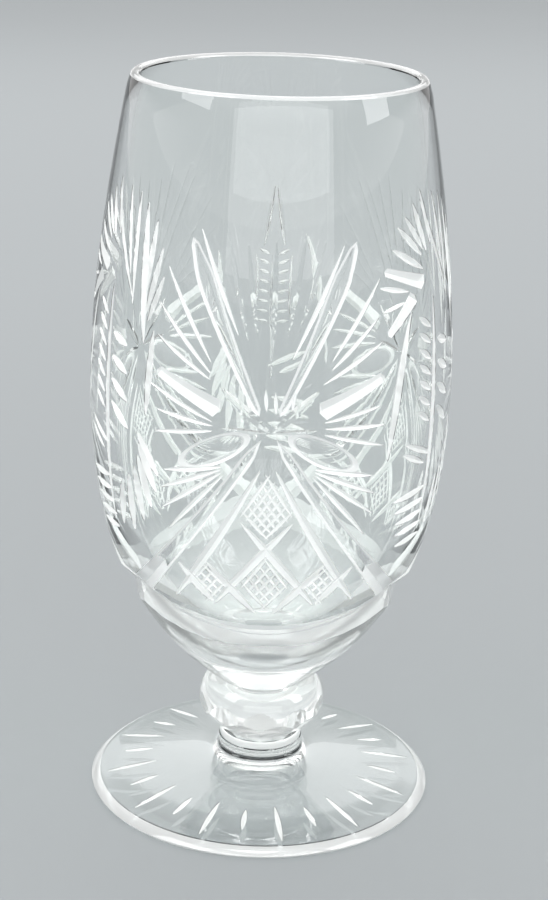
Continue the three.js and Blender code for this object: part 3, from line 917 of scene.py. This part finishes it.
def petal(wheel, place, direction, length, width, depth):
    """A smooth hollow ground with a rounded stone, long in one direction"""
    start = reach_from(place, direction, -length / 2)
    finish = reach_from(place, direction, length / 2)
    line = bowl_line(start, finish)
    bulge = 2 * depth
    stretch = 1 / math.sqrt(1 - (1 - depth / bulge) ** 2)
    cutter = bpy.data.objects.new("petal", round_stone.data.copy())
    for vertex in cutter.data.vertices:
        along, across, rise = vertex.co.y, vertex.co.x, vertex.co.z
        share = 0.5 + along * stretch / 2
        point, normal = line(share)
        ahead = line(share + LOOK_AHEAD)[0] - line(share - LOOK_AHEAD)[0]
        side = ahead.cross(normal).normalized()
        lift = bulge - depth + rise * bulge
        vertex.co = (point + side * across * stretch * width / 2 + normal * lift) * MM
    wheel.objects.link(cutter)


def strokes(
    wheel, azimuth, rows,
    depth=FINE_DEPTH, flank=FINE_FLANK, taper=leaf_taper, finish=None, lag=1.0,
):
    """Cuts between two places each, given as (azimuth from here, height above the bowl's base)"""
    for start, end in rows:
        first = (azimuth + start[0], bowl_base + start[1])
        last = (azimuth + end[0], bowl_base + end[1])
        mitre(wheel, bowl_line(first, last, 0, lag), depth, flank, taper, finish)


def in_steps(count, start, start_step, end, end_step):
    """The two places of each stroke in a row of strokes, every one a step further on"""
    return [
        ((start[0] + start_step[0] * k, start[1] + start_step[1] * k),
         (end[0] + end_step[0] * k, end[1] + end_step[1] * k))
        for k in range(count)
    ]


def on_side(side, rows):
    """Strokes given for the right side, turned over for the left side"""
    return [((side * start[0], start[1]), (side * end[0], end[1])) for start, end in rows]


# Strokes of a star: (azimuth from its middle, height above the bowl's base) at their two ends
RAYS = [
    ((-24.7, 113.4), (-8.9, 89.8)),
    ((23.6, 111.1), (5.0, 85.1)),
    ((-35.6, 104.8), (-16.7, 83.9)),
    ((-38.2, 97.0), (-16.5, 82.0)),
    ((-38.1, 89.8), (-16.5, 81.1)),
    ((36.0, 103.4), (17.0, 84.9)),
    ((35.0, 95.0), (17.0, 83.6)),
    ((36.8, 89.7), (14.1, 80.9)),
]
SIDE_RAYS = [
    ((-40.5, 79.3), (-15.4, 72.5)),
    ((-37.3, 73.7), (-15.4, 72.0)),
    ((-38.0, 68.6), (-15.6, 71.2)),
    ((36.5, 75.9), (14.9, 73.3)),
    ((38.2, 71.5), (15.0, 72.2)),
    ((38.1, 66.7), (15.1, 71.2)),
]
FAINT_RAYS = [
    ((-15.7, 114.6), (-6.4, 88.6)),
    ((-8.4, 111.1), (-4.0, 89.7)),
    ((0.6, 112.0), (0.6, 89.0)),
    ((10.4, 113.6), (4.4, 89.9)),
    ((16.9, 111.9), (7.3, 90.6)),
]
SHORT_RAYS = [
    ((-7.4, 82.0), (-5.9, 75.6)),
    ((7.6, 81.5), (6.4, 75.4)),
    ((-1.4, 81.0), (-0.9, 75.6)),
    ((1.5, 80.4), (1.9, 75.2)),
]
WIDE_RAY = [((27.6, 111.6), (1.8, 73.2))]
BAND = [((37.0, 82.3), (14.0, 75.4))]
INNER_STROKES = [((-15.5, 80.8), (1.2, 70.9)), ((15.5, 80.8), (0.0, 70.9))]
LEVEL_STROKES = [((-15, 71.9), (0.0, 71.4)), ((15, 71.9), (1.2, 71.4))]


def feather_start(direction):
    """Where a ray of a feather starts, away from the feather's place"""
    return FEATHER_INNER


def feather_length(direction):
    """Where it ends: the lower it points, the further away"""
    return FEATHER_OUTER[0] + FEATHER_OUTER[1] * (abs(direction) - FEATHER_SPAN[0])


def cut_star(wheel, azimuth):
    """A star of rays, with bands, a feather and a hollow at both of its sides"""
    star = (azimuth, star_height)
    rear = azimuth != 0
    if rear:
        strokes(wheel, azimuth, RAYS + FAINT_RAYS, *REAR_CUT, leaf_taper, clear_cut)
    else:
        strokes(wheel, azimuth, RAYS, *STAR_CUT)
        strokes(wheel, azimuth, FAINT_RAYS, *FAINT_CUT, leaf_taper, clear_cut)
    strokes(wheel, azimuth, SIDE_RAYS, *STAR_CUT)
    strokes(wheel, azimuth, SHORT_RAYS, *SHORT_CUT)
    for side, inner, level in zip((-1, 1), INNER_STROKES, LEVEL_STROKES):
        feather = (azimuth + side * FEATHER_PLACE[0], bowl_base + FEATHER_PLACE[1])
        span = [side * turn for turn in FEATHER_SPAN]
        fan(wheel, feather, span, FEATHER_RAYS, feather_start, feather_length, FEATHER_CUT)
        wide_ray = on_side(side, WIDE_RAY)
        if rear:
            strokes(wheel, azimuth, wide_ray, *REAR_WIDE_CUT, narrowing_taper, clear_cut)
        else:
            strokes(wheel, azimuth, wide_ray, *WIDE_RAY_CUT, narrowing_taper, wide_cut)
        # The bands take a whitish painted highlight all over
        strokes(wheel, azimuth, on_side(side, BAND), *BAND_CUT, blunt_taper, painted_highlight_cut)
        strokes(wheel, azimuth, [inner], *INNER_CUT, leaf_taper, clear_cut)
        strokes(wheel, azimuth, [level], *LEVEL_CUT, leaf_taper, clear_cut)
        hollow_place = reach_from(star, side * PETAL_TURN, PETAL_AWAY)
        petal(wheel, hollow_place, side * PETAL_TURN, *PETAL_SIZE)


# The lattice on one side of the skirt: two places as (azimuth, height above the bowl's base), and the sag
LATTICE = [
    ((0, 66.5), (36, 29), 3.4),
    ((-10, 53), (20, 29), 0),
    ((-21, 42), (-2, 28), 0),
    ((31, 40.2), (17.5, 30.5), 0),
]
# Its hatched diamonds: four corners round from the top, and the count of cuts each way
SIDE_DIAMOND = [(20, 42.4), (30, 35), (20, 29), (10.5, 36)], 4
UPPER_DIAMOND = [(0, 65), (10, 53), (0, 46), (-10, 53)], 6
LOWER_DIAMOND = [(0, 46), (10.5, 36), (0, 28), (-10.5, 36)], 5


def hatch(wheel, at, corners, count):
    """Two crossed sets of fine cuts over a diamond, whose corners go round from its top"""
    top, right, bottom, left = (Vector(corner) for corner in corners)
    for i in range(1, count + 1):
        share = i / (count + 1)
        mitre(wheel, bowl_line(at(top.lerp(left, share)), at(right.lerp(bottom, share))), *HATCH_CUT)
        mitre(wheel, bowl_line(at(top.lerp(right, share)), at(left.lerp(bottom, share))), *HATCH_CUT)


def cut_skirt(wheel, azimuth):
    """Two diagonals that meet the neighbours' ones, a lattice between them and two arcs below"""
    for side in (-1, 1):

        def at(place):
            return azimuth + side * place[0], bowl_base + place[1]

        diagonal = bowl_line(at((0, STAR_ABOVE_BASE)), at(DIAGONAL_END), DIAGONAL_SAG)
        # A diagonal has painted highlight along its shallow borders and all over its last part
        mitre(wheel, diagonal, *DIAGONAL_CUT, swelling_taper, wide_cut, painted_highlight_cut)
        for start, end, sag in LATTICE:
            mitre(wheel, bowl_line(at(start), at(end), sag), *LATTICE_CUT)
        hatch(wheel, at, *SIDE_DIAMOND)
    hatch(wheel, at, *UPPER_DIAMOND)
    hatch(wheel, at, *LOWER_DIAMOND)
    arcs = [
        (BASE_ARC_END, BASE_ARC_SAG, BASE_ARC_CUT, arc_taper),
        (CRESCENT_END, CRESCENT_SAG, CRESCENT_CUT, leaf_taper),
    ]
    for (away, above_base), sag, cut, taper in arcs:
        start = (azimuth - away, bowl_base + above_base)
        end = (azimuth + away, bowl_base + above_base)
        # The arcs take a paler painted highlight all over
        mitre(wheel, bowl_line(start, end, sag), *cut, taper, soft_highlight_cut)


# Strokes of a column: (azimuth from its spine, height above the bowl's base) at their two ends
LEFT_STROKES = in_steps(5, (1, 54.2), (0.5, -2.9), (-18, 52.9), (1.2, -2.8))
CROSS_STROKES = [((2.5, 61), (-15, 65.8)), ((-2.2, 59.6), (-15.5, 63.6))]
SWEEP = [((-9.2, 96), (-21.8, 61))]
UPRIGHT = [((21.8, 91), (19.6, 70))]
SPINE = [((0, 100), (0, 40))]
# The fans have a depth for each stroke
LEFT_FAN = [
    ((-4.6, 119.2), (0.5, 106.0), 0.6),
    ((-9.3, 116.6), (-2.5, 105.0), 0.85),
    ((-14.1, 114.1), (-4.0, 105.5), 0.75),
    ((-17.9, 112.1), (-5.0, 104.5), 0.8),
    ((-20.9, 107.7), (-4.3, 101.8), 0.85),
    ((-26.4, 100.2), (-12.4, 98.2), 0.6),
    ((-25.0, 94.9), (-14.6, 96.4), 0.5),
]
RIGHT_FAN = [
    ((-6.0, 117.9), (12.5, 93.4), 0.6),
    ((3.6, 118.6), (9.5, 98.0), 0.6),
    ((9.8, 118.5), (11.5, 92.0), 0.65),
    ((14.0, 116.9), (17.9, 84.5), 1.0),
    ((19.5, 113.0), (16.6, 94.0), 0.8),
    ((23.2, 107.8), (17.5, 91.5), 0.75),
    ((24.6, 101.8), (18.5, 90.5), 0.7),
]
BROAD_STROKES = [((-24.4, 103.4), (-4.5, 99.2)), ((-23.0, 89.6), (-10.0, 97.6))]
RIGHT_LEAF = in_steps(4, (1.8, 86.7), (0, -4.9), (11, 84.7), (0.5, -6))
LEFT_LEAF = in_steps(7, (-1.5, 69), (0, 3.4), (-9, 72.2), (0, 3.4))
FLAME_LINES = [((0.3, 106.5), (4.2, 89.6)), ((6.8, 89.5), (6.6, 71.5))]
BACK_SPINE = [((0, 91), (0, 56))]


def cut_column(wheel, azimuth):
    """The foot of every column: straight strokes on its left and a long falling fan on its right"""
    strokes(wheel, azimuth, LEFT_STROKES, *LEFT_STROKE_CUT)
    strokes(wheel, azimuth, CROSS_STROKES)
    falling = (azimuth + FALLING_PLACE[0], bowl_base + FALLING_PLACE[1])
    fan(
        wheel, falling, FALLING_SPAN, FALLING_RAYS,
        lambda direction: FALLING_INNER[0] + FALLING_INNER[1] * (direction - FALLING_SPAN[0]),
        lambda direction: FALLING_OUTER[0] - FALLING_OUTER[1] * max(STRAIGHT_DOWN - direction, 0),
        FALLING_CUT,
    )
    strokes(wheel, azimuth, SWEEP, *SWEEP_CUT, lag=SWEEP_LAG)
    strokes(wheel, azimuth, UPRIGHT, *UPRIGHT_CUT)


def cut_front_column(wheel, azimuth):
    """Two fans at the top, and a spine with a leaf of slanting strokes on both sides"""
    strokes(wheel, azimuth, SPINE, *SPINE_CUT)
    for start, end, depth in LEFT_FAN + RIGHT_FAN:
        strokes(wheel, azimuth, [(start, end)], depth, FAN_FLANK)
    strokes(wheel, azimuth, BROAD_STROKES, *BROAD_CUT, blunt_taper)
    strokes(wheel, azimuth, RIGHT_LEAF, *RIGHT_LEAF_CUT)
    strokes(wheel, azimuth, LEFT_LEAF, *LEFT_LEAF_CUT)


def cut_back_column(wheel, azimuth):
    """A pointed flame over a spine with short rungs, between two upright lines"""
    lines = []
    rungs = []
    for side in (-1, 1):
        lines += on_side(side, FLAME_LINES)
        for k in range(RUNGS):
            rung = RUNG_HEIGHT[0] + RUNG_HEIGHT[1] * k
            rise_end = rung + RUNG_RISE[0] + RUNG_RISE[1] * k
            rungs.append(((side * RUNG_REACH[0], rung), (side * RUNG_REACH[1], rise_end)))
    strokes(wheel, azimuth, lines + BACK_SPINE, *FLAME_CUT, leaf_taper, clear_cut)
    strokes(wheel, azimuth, rungs, *RUNG_CUT)


bowl_wheel = bpy.data.collections.new("bowl_wheel")
for panel in range(PANELS):
    azimuth = 360 / PANELS * panel
    cut_star(bowl_wheel, azimuth)
    cut_skirt(bowl_wheel, azimuth)
    column = azimuth + 180 / PANELS
    cut_column(bowl_wheel, column)
    if column == BACK_COLUMN:
        cut_back_column(bowl_wheel, column)
    else:
        cut_front_column(bowl_wheel, column)
cut_away(bowl, bowl_wheel)
# The depth of the bowl's cuts decides where they take their painted highlight
cut_depth = bowl.data.attributes.new("cut_depth", "FLOAT", "POINT")
for vertex, value in zip(bowl.data.vertices, cut_depth.data):
    surface, slope = outside(min(max(vertex.co.z / MM, bowl_base), rim))
    below = surface - math.hypot(vertex.co.x, vertex.co.y) / MM
    value.value = below / math.hypot(1, slope)
# The rim takes a painted glow
paint_edge_glow(bowl, lambda place: place.z > rim - RIM_GLOW)
finish_piece(bowl, "bowl", [bowl_base], BOWL_CREASE)
